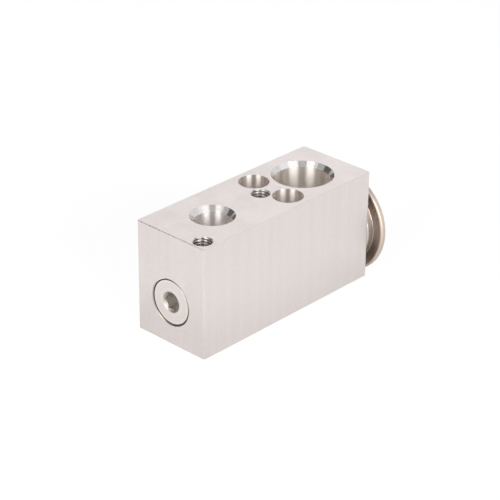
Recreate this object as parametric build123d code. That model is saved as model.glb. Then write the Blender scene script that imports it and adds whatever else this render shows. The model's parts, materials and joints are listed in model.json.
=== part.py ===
from build123d import *
import os
from math import cos, pi, radians, sin, sqrt, tan

# A block-type thermostatic expansion valve for a vehicle's air conditioning, in millimetres.
# The origin is midway between the two through-bolts on the evaporator-side face.
# X runs along the valve axis towards the power head, and Z up to the pipe-side face.

# Block: a slice of extruded aluminium bar, drilled and bored
block_width = 28.9
block_height = 38.0
inlet_to_adjuster_end = 18.35
suction_to_head_end = 16.75
extrusion_corner = 0.8
cut_edge_break = 0.15
valve_axis_height = 14.6

# Ports: a tapered lead-in for the pipe's O-ring, a pilot bore and a narrower passage
bolts_to_liquid_inlet = 26.4
bolts_to_liquid_outlet = 13.3
bolts_to_suction = 15.05
liquid_pilot_radius = 5.9
liquid_lead_in = 1.85
liquid_lead_in_width = 1.4
liquid_inlet_pilot_depth = 9.0
liquid_outlet_pilot_depth = 6.0
liquid_inlet_passage_radius = 3.0
liquid_outlet_passage_radius = 3.5
suction_pilot_radius = 9.15
suction_lead_in = 1.7
suction_lead_in_width = 1.15
suction_outlet_pilot_depth = 11.5
suction_inlet_pilot_depth = 8.0
suction_passage_step = 1.25

# Fastening holes
bolt_spacing = 14.75
bolt_hole_radius = 2.75
bolt_head_recess_radius = 5.05
bolt_head_recess_depth = 6.0
tapped_hole_radius = 3.0
tapped_hole_break = 0.25
plate_stud_offset = 4.75
plate_stud_depth = 14.0
corner_hole_end_wall = 0.85
corner_hole_side_wall = 1.3
corner_hole_depth = 12.0
drill_point_angle = 118.0

# Valve chamber and the adjusting screw in its mouth
chamber_radius = 7.2
chamber_past_inlet = 1.1
screw_thread_step = 0.5
screw_thread_length = 5.6
screw_recess = 0.25
screw_edge_break = 0.4
screw_length = 12.1
screw_mouth_break = 0.25
hex_across_flats = 5.5
hex_depth = 5.0
hex_turn = 30.0
hex_mouth_width = 0.8
screw_web = 1.3
screw_ring_groove_to_inner_end = 0.9
screw_ring_groove_width = 1.9
screw_ring_groove_depth = 1.25
chamber_before_ring = 0.55

# Seat, ball and what carries it
ball_radius = 3.0
orifice_radius = 1.9
seat_depth = 0.8
ball_opening_at_rest = 0.35
carrier_flange_past_spring = 1.05
carrier_flange_thickness = 1.2
carrier_hub_length = 1.7
carrier_boss_wall = 0.5
carrier_boss_length = 0.8
carrier_cup_radius = 2.8
carrier_cup_floor_radius = 1.2
damper_thickness = 0.3
damper_finger_length = 2.8
damper_finger_arc = 38.0
damper_finger_count = 4
spring_mean_radius = 4.0
spring_wire_radius = 0.55
spring_wire_sides = 8
spring_turns = 5.0

# Push rod, its seal and the sensing rod
push_rod_radius = 1.2
seal_gland_depth = 3.8
rod_ring_width = 1.75
retainer_thickness = 0.4
retainer_tooth_count = 6
sensing_rod_radius = 3.0
sensing_rod_into_gland = 0.7
push_rod_socket_depth = 3.0

# Power head: two pressed covers with the diaphragm welded between their rims
neck_radius = 11.1
neck_length = 5.8
neck_wall = 1.55
neck_ring_chamfer = 1.9
cup_radius = 14.3
cup_height = 3.0
cup_corner = 0.8
cover_thickness = 0.9
flange_width = 3.0
weld_depth = 0.8
weld_width = 2.0
weld_edge_break = 0.5
diaphragm_thickness = 0.2
diaphragm_wave_height = 0.35
diaphragm_wave_width = 2.2
dome_height = 2.9
dome_foot_past_cup = 0.1
dome_slope_width = 1.8
dome_crown_rise = 0.5
dome_dimple_radius = 3.6
dome_dimple_depth = 0.6
charge_hole_radius = 1.2
charge_plug_rim = 0.8
charge_plug_tip_radius = 1.2
charge_plug_height = 0.9
plate_thickness = 2.0
plate_boss_wall = 1.6
plate_boss_length = 2.4
plate_over_cup_floor = 0.7
plate_rim_break = 0.7
plate_socket_floor = 1.0
bend_radius = 0.4

# Break of turned edges, and the share of its width that makes a rubber ring's section eight-sided
turned_edge = 0.25
ring_corner = 1 - sqrt(0.5)

# Clearances
running_clearance = 0.05
contact_gap = 0.02
shank_clearance = 0.08
spring_side_clearance = 0.35
retainer_clearance = 0.4
sensing_rod_clearance = 0.3
vent_clearance = 1.0
neck_end_clearance = 0.2
plate_side_clearance = 0.8

# Radii worked out from the sizes above
liquid_mouth_radius = liquid_pilot_radius + liquid_lead_in_width
suction_mouth_radius = suction_pilot_radius + suction_lead_in_width
suction_passage_radius = suction_pilot_radius - suction_passage_step
screw_thread_radius = chamber_radius + screw_thread_step
screw_bore_radius = screw_thread_radius + running_clearance
screw_shank_radius = chamber_radius - shank_clearance
hex_mouth_radius = hex_across_flats / 2 + hex_mouth_width
spring_outer_radius = spring_mean_radius + spring_wire_radius
spring_pocket_radius = spring_outer_radius + spring_side_clearance
carrier_flange_radius = spring_outer_radius + carrier_flange_past_spring
carrier_hub_radius = spring_mean_radius - spring_wire_radius - spring_side_clearance
carrier_boss_radius = carrier_cup_radius + carrier_boss_wall
retainer_hole_radius = push_rod_radius + retainer_clearance
seal_gland_radius = sensing_rod_radius + sensing_rod_clearance
vent_hole_radius = sensing_rod_radius + vent_clearance
plate_boss_radius = sensing_rod_radius + plate_boss_wall
neck_bore_radius = neck_radius - neck_wall
flange_radius = cup_radius + flange_width
weld_radius = flange_radius + weld_depth
dome_foot_radius = cup_radius + dome_foot_past_cup
dome_shoulder_radius = dome_foot_radius - dome_slope_width
charge_plug_radius = charge_hole_radius + charge_plug_rim
plate_radius = cup_radius - cover_thickness - plate_side_clearance

# Places along the valve axis, worked out from the sizes above
liquid_inlet_x = -bolts_to_liquid_inlet
liquid_outlet_x = -bolts_to_liquid_outlet
suction_x = bolts_to_suction
adjuster_face = liquid_inlet_x - inlet_to_adjuster_end
head_face = suction_x + suction_to_head_end
screw_face = adjuster_face + screw_recess
screw_inner_end = screw_face + screw_length
hex_drill_radius = hex_across_flats / 2 - contact_gap
hex_drill_tip = screw_face + hex_depth + hex_drill_radius / tan(radians(drill_point_angle / 2))
spring_pocket_floor = hex_drill_tip + screw_web
screw_ring_groove = screw_inner_end - screw_ring_groove_to_inner_end - screw_ring_groove_width
chamber_start = screw_ring_groove - chamber_before_ring
chamber_end = liquid_inlet_x + liquid_inlet_passage_radius + chamber_past_inlet
seat_end = chamber_end + seat_depth
# The seat is a 45 degree cone, so a closed ball's centre lies radius / sin 45 from the cone's point
ball_closed_x = seat_end + orifice_radius - ball_radius / sin(radians(45))
ball_x = ball_closed_x - ball_opening_at_rest
ball_contact = ball_radius * sin(radians(45))
carrier_face = ball_x - ball_contact + (carrier_cup_radius - ball_contact)
carrier_shoulder = carrier_face - carrier_boss_length
carrier_back = carrier_shoulder - carrier_flange_thickness
gland_mouth = suction_x - suction_passage_radius
gland_floor = gland_mouth - seal_gland_depth
sensing_rod_start = gland_mouth - sensing_rod_into_gland
neck_end = head_face - neck_length
neck_floor = neck_end - neck_end_clearance
cup_floor = head_face + cover_thickness
flange_face = head_face + cup_height
diaphragm_face = flange_face + cover_thickness
upper_flange_face = diaphragm_face + diaphragm_thickness
plate_back = cup_floor + plate_over_cup_floor
plate_face = plate_back + plate_thickness
plate_boss_end = plate_back - plate_boss_length
sensing_rod_end = plate_face - plate_socket_floor
dome_crown = upper_flange_face + cover_thickness + dome_height + dome_crown_rise


def section(corners):
    """Face bounded by (x, radius, edge break) corners, each break cut straight across its corner."""
    outline = []
    for index, (x, radius, edge_break) in enumerate(corners):
        corner = Vector(x, radius)
        if edge_break == 0:
            outline.append(corner)
            continue
        for neighbour in (corners[index - 1], corners[(index + 1) % len(corners)]):
            towards = (Vector(neighbour[0], neighbour[1]) - corner).normalized()
            outline.append(corner + towards * edge_break)
    return make_face(Polyline(*outline, close=True))


def turned(*corners):
    """Solid turned about the valve axis from its section's (x, radius, edge break) corners."""
    return Pos(0, 0, valve_axis_height) * revolve(section(corners), axis=Axis.X)


def sheet_corners(corners, thickness):
    """Corners of a bent sheet's section, from the (x, radius, bend) corners of its right-hand side."""
    near = [Vector(x, radius) for x, radius, bend in corners]
    bends = [bend for x, radius, bend in corners]
    runs = [(end - start).normalized() for start, end in zip(near, near[1:])]
    normals = [Vector(-run.Y, run.X) for run in runs]
    far = [near[0] + normals[0] * thickness]
    near_breaks = [0]
    far_breaks = [0]
    for index in range(1, len(near) - 1):
        before, after = normals[index - 1], normals[index]
        share = 1 / (1 + before.dot(after))
        far.append(near[index] + (before + after) * (thickness * share))
        tangent_length = sqrt(2 * share - 1)
        turns_left = runs[index - 1].cross(runs[index]).Z > 0
        inside, outside = bends[index] * tangent_length, (bends[index] + thickness) * tangent_length
        near_breaks.append(outside if turns_left else inside)
        far_breaks.append(inside if turns_left else outside)
    far.append(near[-1] + normals[-1] * thickness)
    near_breaks.append(0)
    far_breaks.append(0)
    return [
        (corner.X, corner.Y, edge_break)
        for corner, edge_break in zip(near + far[::-1], near_breaks + far_breaks[::-1])
    ]


def ring_of_rubber(start, end, inner, outer):
    """Rubber ring whose eight-sided section stands for the squeezed round one."""
    corner_cut = (outer - inner) * ring_corner
    return turned(
        (start, inner, corner_cut),
        (start, outer, corner_cut),
        (end, outer, corner_cut),
        (end, inner, corner_cut),
    )


def drilled(x, y, z_mouth, radius, depth, pointing_up=False):
    """Tool for a blind hole with a drill point, entering downwards unless it points up."""
    tip = radius / tan(radians(drill_point_angle / 2))
    profile = Polyline((0, 0), (radius, 0), (radius, -depth), (0, -depth - tip), close=True)
    tool = revolve(make_face(Plane.XZ * profile), axis=Axis.Z)
    if pointing_up:
        tool = Rot(180, 0, 0) * tool
    return Pos(x, y, z_mouth) * tool


def port(x, mouth_radius, lead_in, pilot_radius, pilot_depth, from_below=False):
    """Tool for a port's lead-in and pilot, entering from the top or the bottom face."""
    profile = Polyline(
        (0, 0),
        (mouth_radius, 0),
        (pilot_radius, -lead_in),
        (pilot_radius, -pilot_depth),
        (0, -pilot_depth),
        close=True,
    )
    tool = revolve(make_face(Plane.XZ * profile), axis=Axis.Z)
    if from_below:
        return Pos(x, 0, 0) * Rot(180, 0, 0) * tool
    return Pos(x, 0, block_height) * tool


def upright(x, y, radius, z_low, z_high):
    """Round bar standing between two heights."""
    return Pos(x, y, (z_low + z_high) / 2) * Cylinder(radius, z_high - z_low)


def along_axis(radius, x_start, x_end):
    """Round bar lying on the valve axis between two places."""
    return turned((x_start, 0, 0), (x_start, radius, 0), (x_end, radius, 0), (x_end, 0, 0))


def make_valve_block():
    middle = (head_face + adjuster_face) / 2
    block = Pos(middle, 0, block_height / 2) * Box(head_face - adjuster_face, block_width, block_height)
    block = fillet(block.edges().filter_by(Axis.Z), extrusion_corner)
    cut_edges = block.faces().sort_by(Axis.Z)[-1].edges() + block.faces().sort_by(Axis.Z)[0].edges()
    block = chamfer(cut_edges, cut_edge_break)

    # Ports and the passages behind them
    block -= port(liquid_inlet_x, liquid_mouth_radius, liquid_lead_in,
                  liquid_pilot_radius, liquid_inlet_pilot_depth)
    block -= upright(liquid_inlet_x, 0, liquid_inlet_passage_radius,
                     valve_axis_height, block_height - liquid_lead_in)
    block -= port(liquid_outlet_x, liquid_mouth_radius, liquid_lead_in,
                  liquid_pilot_radius, liquid_outlet_pilot_depth, from_below=True)
    block -= drilled(liquid_outlet_x, 0, liquid_lead_in, liquid_outlet_passage_radius,
                     valve_axis_height + orifice_radius - liquid_lead_in, pointing_up=True)
    block -= port(suction_x, suction_mouth_radius, suction_lead_in,
                  suction_pilot_radius, suction_outlet_pilot_depth)
    block -= port(suction_x, suction_mouth_radius, suction_lead_in,
                  suction_pilot_radius, suction_inlet_pilot_depth, from_below=True)
    block -= upright(suction_x, 0, suction_passage_radius, suction_lead_in, block_height - suction_lead_in)

    # Through-bolts with recessed heads, and the two tapped holes
    for y in (-bolt_spacing / 2, bolt_spacing / 2):
        block -= upright(0, y, bolt_hole_radius, 0, block_height)
        block -= upright(0, y, bolt_head_recess_radius, block_height - bolt_head_recess_depth, block_height)
    corner_hole_x = adjuster_face + corner_hole_end_wall + tapped_hole_radius
    corner_hole_y = -block_width / 2 + corner_hole_side_wall + tapped_hole_radius
    tapped = (
        (-plate_stud_offset, 0, plate_stud_depth),
        (corner_hole_x, corner_hole_y, corner_hole_depth),
    )
    for x, y, depth in tapped:
        block -= drilled(x, y, block_height, tapped_hole_radius, depth)
        mouth = Cone(tapped_hole_radius, tapped_hole_radius + tapped_hole_break, tapped_hole_break)
        block -= Pos(x, y, block_height - tapped_hole_break / 2) * mouth

    # Valve chamber, seat and orifice, bored from the adjusting-screw end
    block -= turned(
        (adjuster_face, 0, 0),
        (adjuster_face, screw_bore_radius + screw_mouth_break, 0),
        (adjuster_face + screw_mouth_break, screw_bore_radius, 0),
        (chamber_start - (screw_bore_radius - chamber_radius), screw_bore_radius, 0),
        (chamber_start, chamber_radius, 0),
        (chamber_end, chamber_radius, 0),
        (chamber_end, orifice_radius + seat_depth, 0),
        (seat_end, orifice_radius, 0),
        (liquid_outlet_x, orifice_radius, 0),
        (liquid_outlet_x, 0, 0),
    )

    # Push-rod guide, seal gland, vent to the head, and the head's threaded hole
    block -= along_axis(push_rod_radius + running_clearance, liquid_outlet_x, gland_floor)
    block -= along_axis(seal_gland_radius, gland_floor, suction_x)
    block -= along_axis(vent_hole_radius, suction_x, neck_floor)
    neck_bore = neck_radius + running_clearance
    block -= turned(
        (neck_floor, 0, 0),
        (neck_floor, neck_bore, 0),
        (head_face - neck_ring_chamfer, neck_bore, 0),
        (head_face, neck_bore + neck_ring_chamfer, 0),
        (head_face, 0, 0),
    )
    return block


def make_adjusting_screw():
    groove = screw_ring_groove
    groove_radius = screw_shank_radius - screw_ring_groove_depth
    thread_end = screw_face + screw_thread_length
    screw = turned(
        (screw_face, 0, 0),
        (screw_face, screw_thread_radius - screw_edge_break, 0),
        (screw_face + screw_edge_break, screw_thread_radius, 0),
        (thread_end, screw_thread_radius, 0),
        (thread_end + screw_thread_radius - screw_shank_radius, screw_shank_radius, 0),
        (groove, screw_shank_radius, 0),
        (groove, groove_radius, 0),
        (groove + screw_ring_groove_width, groove_radius, 0),
        (groove + screw_ring_groove_width, screw_shank_radius, 0),
        (screw_inner_end, screw_shank_radius, 0),
        (screw_inner_end, spring_pocket_radius, 0),
        (spring_pocket_floor, spring_pocket_radius, 0),
        (spring_pocket_floor, 0, 0),
    )
    socket_plane = Plane(origin=(screw_face, 0, valve_axis_height), x_dir=(0, 1, 0), z_dir=(1, 0, 0))
    hexagon = RegularPolygon(hex_across_flats / 2, 6, major_radius=False, rotation=90 - hex_turn)
    screw -= extrude(socket_plane * hexagon, amount=hex_depth)
    screw -= turned(
        (screw_face, 0, 0),
        (screw_face, hex_mouth_radius, 0),
        (screw_face + hex_mouth_radius - hex_drill_radius, hex_drill_radius, 0),
        (screw_face + hex_depth, hex_drill_radius, 0),
        (hex_drill_tip, 0, 0),
    )
    return screw


def make_adjusting_screw_o_ring():
    start = screw_ring_groove + contact_gap
    end = start + screw_ring_groove_width - 2 * contact_gap
    inner = screw_shank_radius - screw_ring_groove_depth + contact_gap
    return ring_of_rubber(start, end, inner, chamber_radius - contact_gap)


def make_superheat_spring():
    """Spring with ground ends, from the screw's pocket to the carrier; its wire is an eight-sided bar."""
    start = spring_pocket_floor + contact_gap
    length = carrier_back - contact_gap - start
    pitch = length / spring_turns
    overrun = 2 * spring_wire_radius
    helix = Helix(pitch, length + 2 * overrun, spring_mean_radius)
    wire = Plane(origin=helix @ 0, z_dir=helix % 0) * RegularPolygon(spring_wire_radius, spring_wire_sides)
    coil = Pos(0, 0, -overrun) * sweep(wire, path=helix, is_frenet=True)
    ground = Pos(0, 0, length / 2) * Cylinder(2 * spring_mean_radius, length)
    return Pos(start, 0, valve_axis_height) * Rot(0, 90, 0) * (coil & ground)


def make_ball_carrier():
    """Turned carrier: a hub inside the spring, a flange for it, and a 45 degree cup for the ball."""
    face = carrier_face - contact_gap / sin(radians(45))
    cup_depth = carrier_cup_radius - carrier_cup_floor_radius
    return turned(
        (carrier_back - carrier_hub_length, 0, 0),
        (carrier_back - carrier_hub_length, carrier_hub_radius, turned_edge),
        (carrier_back, carrier_hub_radius, 0),
        (carrier_back, carrier_flange_radius, turned_edge),
        (carrier_shoulder, carrier_flange_radius, turned_edge),
        (carrier_shoulder, carrier_boss_radius, 0),
        (face, carrier_boss_radius, 0),
        (face, carrier_cup_radius, 0),
        (face - cup_depth, carrier_cup_floor_radius, 0),
        (face - cup_depth, 0, 0),
    )


def make_damping_ring():
    """Thin spring ring on the carrier's flange, with fingers that rub on the chamber wall."""
    start = carrier_shoulder + contact_gap
    finger_outer = chamber_radius - running_clearance
    ring = turned(
        (start, carrier_boss_radius + contact_gap, 0),
        (start, carrier_flange_radius, 0),
        (start + damper_thickness, carrier_flange_radius, 0),
        (start + damper_thickness, carrier_boss_radius + contact_gap, 0),
    )
    finger_corners = sheet_corners(
        (
            (start, carrier_flange_radius - damper_thickness, 0),
            (start, finger_outer, damper_thickness),
            (start + damper_finger_length, finger_outer, 0),
        ),
        -damper_thickness,
    )
    finger = revolve(section(finger_corners), axis=Axis.X, revolution_arc=damper_finger_arc)
    for index in range(damper_finger_count):
        ring += Pos(0, 0, valve_axis_height) * Rot(index * 360 / damper_finger_count, 0, 0) * finger
    return ring


def make_valve_ball():
    return Pos(ball_x, 0, valve_axis_height) * Sphere(ball_radius)


def make_push_rod():
    start = ball_x + ball_radius + contact_gap
    end = sensing_rod_start + push_rod_socket_depth - contact_gap
    return along_axis(push_rod_radius, start, end)


def make_rod_seal_o_ring():
    start = gland_floor + contact_gap
    inner = push_rod_radius + contact_gap
    return ring_of_rubber(start, start + rod_ring_width, inner, seal_gland_radius - contact_gap)


def make_rod_seal_retainer():
    """Star washer pushed into the gland, which keeps the rod's ring in place."""
    start = gland_floor + rod_ring_width + 3 * contact_gap
    outer = seal_gland_radius - contact_gap
    washer = turned(
        (start, retainer_hole_radius, 0),
        (start, outer, 0),
        (start + retainer_thickness, outer, 0),
        (start + retainer_thickness, retainer_hole_radius, 0),
    )
    for index in range(retainer_tooth_count):
        angle = index * 2 * pi / retainer_tooth_count
        slot = Cylinder(retainer_thickness, 4 * retainer_thickness, rotation=(0, 90, 0))
        washer -= Pos(start, outer * cos(angle), valve_axis_height + outer * sin(angle)) * slot
    return washer


def make_sensing_rod():
    """Aluminium rod across the suction passage, with the push rod pressed into its end."""
    socket = push_rod_radius + contact_gap
    return turned(
        (sensing_rod_start, socket, 0),
        (sensing_rod_start, sensing_rod_radius, turned_edge),
        (sensing_rod_end, sensing_rod_radius, turned_edge),
        (sensing_rod_end, 0, 0),
        (sensing_rod_start + push_rod_socket_depth, 0, 0),
        (sensing_rod_start + push_rod_socket_depth, socket, 0),
    )


def make_diaphragm_plate():
    """Plate under the diaphragm, with a boss that takes the sensing rod's end."""
    socket = sensing_rod_radius + contact_gap
    return turned(
        (plate_boss_end, socket, 0),
        (plate_boss_end, plate_boss_radius, turned_edge),
        (plate_back, plate_boss_radius, 0),
        (plate_back, plate_radius, plate_rim_break),
        (plate_face, plate_radius, plate_rim_break),
        (plate_face, 0, 0),
        (sensing_rod_end + contact_gap, 0, 0),
        (sensing_rod_end + contact_gap, socket, 0),
    )


def make_diaphragm():
    """Thin disc held at its rim, with one ring-shaped wave and a middle that lies on the plate."""
    middle = plate_face + contact_gap
    crest = plate_radius
    foot = diaphragm_wave_width / 2
    corners = sheet_corners(
        (
            (diaphragm_face, flange_radius, 0),
            (diaphragm_face, crest + foot, 0),
            (diaphragm_face + diaphragm_wave_height, crest, 0),
            (middle, crest - foot, 0),
            (middle, 0, 0),
        ),
        diaphragm_thickness,
    )
    return turned(*corners)


def make_head_lower_cover():
    """Lower cover: a threaded neck, a cup for the plate and a flat flange."""
    return turned(
        (neck_end, neck_bore_radius, 0),
        (neck_end, neck_radius, turned_edge),
        (head_face, neck_radius, 0),
        (head_face, cup_radius, cup_corner),
        (flange_face, cup_radius, bend_radius),
        (flange_face, flange_radius, 0),
        (diaphragm_face, flange_radius, 0),
        (diaphragm_face, cup_radius - cover_thickness, bend_radius),
        (cup_floor, cup_radius - cover_thickness, bend_radius),
        (cup_floor, neck_bore_radius, 0),
    )


def make_head_upper_cover():
    """Upper cover: a flat flange, a dished crown and a dimple round the charging hole."""
    base = upper_flange_face + cover_thickness
    corners = sheet_corners(
        (
            (dome_crown - dome_dimple_depth, charge_hole_radius, 0),
            (dome_crown - dome_dimple_depth, dome_dimple_radius - dome_dimple_depth, bend_radius),
            (dome_crown, dome_dimple_radius, bend_radius),
            (base + dome_height, dome_shoulder_radius, 2 * bend_radius),
            (base, dome_foot_radius, bend_radius),
            (base, flange_radius, 0),
        ),
        cover_thickness,
    )
    return turned(*corners)


def make_rim_weld():
    """Weld bead that closes both flanges and the diaphragm at their edge."""
    start = flange_face + (2 * cover_thickness + diaphragm_thickness - weld_width) / 2
    end = start + weld_width
    return turned(
        (start, flange_radius, 0),
        (start, weld_radius, weld_edge_break),
        (end, weld_radius, weld_edge_break),
        (end, flange_radius, 0),
    )


def make_charge_plug():
    """Conical plug welded over the charging hole."""
    dimple_floor = dome_crown - dome_dimple_depth
    return turned(
        (dimple_floor - cover_thickness, 0, 0),
        (dimple_floor - cover_thickness, charge_hole_radius - contact_gap, 0),
        (dimple_floor, charge_hole_radius - contact_gap, 0),
        (dimple_floor, charge_plug_radius, 0),
        (dimple_floor + charge_plug_height, charge_plug_tip_radius, turned_edge),
        (dimple_floor + charge_plug_height, 0, 0),
    )


def make_head_o_ring():
    """Ring in the three-cornered space between the neck, the cup and the bore's chamfer."""
    leg = neck_ring_chamfer
    base = neck_ring_chamfer + running_clearance
    inscribed = (leg + base - sqrt(leg**2 + base**2)) / 2
    return ring_of_rubber(
        head_face - 2 * inscribed + contact_gap,
        head_face - contact_gap,
        neck_radius + contact_gap,
        neck_radius + 2 * inscribed - contact_gap,
    )


nodes = {
    "valve_block": make_valve_block,
    "adjusting_screw": make_adjusting_screw,
    "adjusting_screw_o_ring": make_adjusting_screw_o_ring,
    "superheat_spring": make_superheat_spring,
    "ball_carrier": make_ball_carrier,
    "damping_ring": make_damping_ring,
    "valve_ball": make_valve_ball,
    "push_rod": make_push_rod,
    "rod_seal_o_ring": make_rod_seal_o_ring,
    "rod_seal_retainer": make_rod_seal_retainer,
    "sensing_rod": make_sensing_rod,
    "diaphragm_plate": make_diaphragm_plate,
    "diaphragm": make_diaphragm,
    "head_lower_cover": make_head_lower_cover,
    "head_upper_cover": make_head_upper_cover,
    "rim_weld": make_rim_weld,
    "charge_plug": make_charge_plug,
    "head_o_ring": make_head_o_ring,
}

os.makedirs("parts", exist_ok=True)
for name, make in nodes.items():
    export_step(make(), f"parts/{name}.step")
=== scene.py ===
"""Block-type expansion valve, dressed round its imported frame, in metres.

X runs along the valve axis towards the power head, and Z up to the pipe-side face.
The sections follow the valve as it is put together: block, threads, adjusting screw, inner parts, rubber
rings, power head.
"""

import json
import math

import bmesh
import bpy
import numpy as np
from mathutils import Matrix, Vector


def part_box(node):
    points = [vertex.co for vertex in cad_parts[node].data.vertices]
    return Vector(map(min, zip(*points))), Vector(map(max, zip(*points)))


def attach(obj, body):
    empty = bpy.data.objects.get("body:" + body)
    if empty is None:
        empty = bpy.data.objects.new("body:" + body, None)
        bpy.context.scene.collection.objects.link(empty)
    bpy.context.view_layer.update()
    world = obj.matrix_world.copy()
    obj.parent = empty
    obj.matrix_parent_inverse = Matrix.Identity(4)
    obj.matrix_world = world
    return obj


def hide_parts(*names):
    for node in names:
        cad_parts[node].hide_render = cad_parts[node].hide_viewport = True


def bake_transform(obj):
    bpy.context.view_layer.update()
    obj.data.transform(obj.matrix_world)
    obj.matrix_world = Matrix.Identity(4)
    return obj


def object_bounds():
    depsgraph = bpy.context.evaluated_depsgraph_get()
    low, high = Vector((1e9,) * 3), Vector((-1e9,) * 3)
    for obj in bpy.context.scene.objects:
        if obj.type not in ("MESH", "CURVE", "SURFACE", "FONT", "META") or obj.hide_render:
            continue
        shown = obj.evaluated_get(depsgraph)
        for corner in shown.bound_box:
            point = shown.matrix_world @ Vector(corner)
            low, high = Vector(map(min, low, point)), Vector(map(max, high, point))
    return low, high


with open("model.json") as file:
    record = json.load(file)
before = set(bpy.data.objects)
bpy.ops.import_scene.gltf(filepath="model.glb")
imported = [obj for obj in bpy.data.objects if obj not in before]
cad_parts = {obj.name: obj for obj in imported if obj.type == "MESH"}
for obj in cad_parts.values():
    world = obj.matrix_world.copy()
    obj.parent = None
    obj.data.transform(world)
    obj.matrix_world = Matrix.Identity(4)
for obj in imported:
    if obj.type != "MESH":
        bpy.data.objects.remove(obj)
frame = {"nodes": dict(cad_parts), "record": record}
cad_low, cad_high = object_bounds()

# Valve block
# A slice of extruded aluminium bar: the sides keep the die's faint upright streaks, the top and bottom are
# milled, and every port and hole is bored or drilled, which leaves fine turning rings on its wall.

MILLIMETRE = 0.001
block_low, block_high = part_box("valve_block")
mounts = {mount["name"]: mount for mount in frame["record"]["mounts"]}
cut_edge_break = 0.15 * MILLIMETRE
skin_depth = 0.3 * MILLIMETRE
recess_reach = 5.2 * MILLIMETRE
tapped_reach = 2.97 * MILLIMETRE
suction_reach = 10.4 * MILLIMETRE
axis_height = mounts["adjusting_screw_key"]["pos_m"][2]
liquid_cone_width, liquid_cone_depth = 1.4 * MILLIMETRE, 1.85 * MILLIMETRE
suction_cone_width, suction_cone_depth = 1.15 * MILLIMETRE, 1.7 * MILLIMETRE
screw_mouth_reach = 8.3 * MILLIMETRE
screw_mouth_depth = 1.5 * MILLIMETRE
# A face is square to an axis when its normal lies this much along it. A side's normal is less upright than
# side_uprightness, and a lead-in's lies between the two of slope_uprightness.
square_share = 0.95
side_uprightness = 0.5
slope_uprightness = (0.3, 0.9)
# A little more than the size itself, so that a mask takes in the whole edge or port
edge_allowance = 1.15
port_allowance = 1.1
# The least cosine between the mesh's normal and the cone's, where the cone's is taken
cone_agreement = 0.98


def display(red, green, blue):
    """Linear colour of a display colour given from 0 to 255."""
    levels = np.array([red, green, blue]) / 255
    linear = np.where(levels > 0.04045, ((levels + 0.055) / 1.055) ** 2.4, levels / 12.92)
    return (*linear.tolist(), 1.0)


def add(tree, kind, inputs=(), **settings):
    """Adds a shader node and returns its output.

    Inputs are a list in order or a dict by name; those that are sockets are linked.
    """
    node = tree.nodes.new("ShaderNode" + kind)
    for name, setting in settings.items():
        setattr(node, name, setting)
    if isinstance(inputs, dict):
        pairs = [(node.inputs[name], value) for name, value in inputs.items()]
    else:
        pairs = zip([socket for socket in node.inputs if socket.enabled], inputs)
    for socket, value in pairs:
        if isinstance(value, bpy.types.NodeSocket):
            tree.links.new(value, socket)
        elif value is not None:
            socket.default_value = value
    return next(socket for socket in node.outputs if socket.enabled)


def math_of(tree, operation, *values):
    """Output of one Math node."""
    return add(tree, "Math", values, operation=operation)


def vector_of(tree, operation, *values):
    """Output of one Vector Math node."""
    return add(tree, "VectorMath", values, operation=operation)


def mixed(tree, share, first, second, kind="RGBA"):
    """First, turning into second as share goes from 0 to 1."""
    return add(tree, "Mix", (share, first, second), data_type=kind)


def ramp(tree, value, start, end, low=0.0, high=1.0):
    """Low below start and high above end, with a straight run between."""
    return add(tree, "MapRange", (value, start, end, low, high))


def group_tree(name, inputs, outputs):
    """A shader node group with those named sockets, and its input sockets by name."""
    tree = bpy.data.node_groups.new(name, "ShaderNodeTree")
    for socket, kind in inputs.items():
        tree.interface.new_socket(socket, in_out="INPUT", socket_type="NodeSocket" + kind)
    for socket, kind in outputs.items():
        tree.interface.new_socket(socket, in_out="OUTPUT", socket_type="NodeSocket" + kind)
    entry = tree.nodes.new("NodeGroupInput")
    return tree, {socket: entry.outputs[socket] for socket in inputs}


def close_group(tree, **results):
    """Links the results to the group's outputs."""
    leaving = tree.nodes.new("NodeGroupOutput")
    for name, result in results.items():
        tree.links.new(result, leaving.inputs[name])


def use_group(tree, group, **inputs):
    """Places a group in a material and returns its outputs by name."""
    node = tree.nodes.new("ShaderNodeGroup")
    node.node_tree = group
    for name, value in inputs.items():
        if isinstance(value, bpy.types.NodeSocket):
            tree.links.new(value, node.inputs[name])
        else:
            node.inputs[name].default_value = value
    return node.outputs


def new_material(name):
    """An empty node material with a Principled shader: the tree, the shader and the object coordinates."""
    material = bpy.data.materials.new(name)
    material.use_nodes = True
    tree = material.node_tree
    shader = tree.nodes["Principled BSDF"]
    place = tree.nodes.new("ShaderNodeTexCoord").outputs["Object"]
    return material, tree, shader, place


def set_sockets(tree, shader, values):
    """Sets or links the shader's own sockets by name."""
    for name, value in values.items():
        if isinstance(value, bpy.types.NodeSocket):
            tree.links.new(value, shader.inputs[name])
        else:
            shader.inputs[name].default_value = value


def make_grain_group():
    """Stretched noise: the place is scaled by Stretch.

    A small factor along an axis draws the grain out along it.
    """
    tree, sockets = group_tree(
        "drawn grain",
        {"Place": "Vector", "Stretch": "Vector"},
        {"Fine": "Float", "Broad": "Float"},
    )
    stretched = vector_of(tree, "MULTIPLY", sockets["Place"], sockets["Stretch"])
    fine = add(tree, "TexNoise", {"Vector": stretched, "Scale": 1.0, "Detail": 4.0, "Roughness": 0.65})
    broad = add(tree, "TexNoise", {"Vector": stretched, "Scale": 0.13, "Detail": 2.0, "Roughness": 0.5})
    close_group(tree, Fine=fine, Broad=broad)
    return tree


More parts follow.
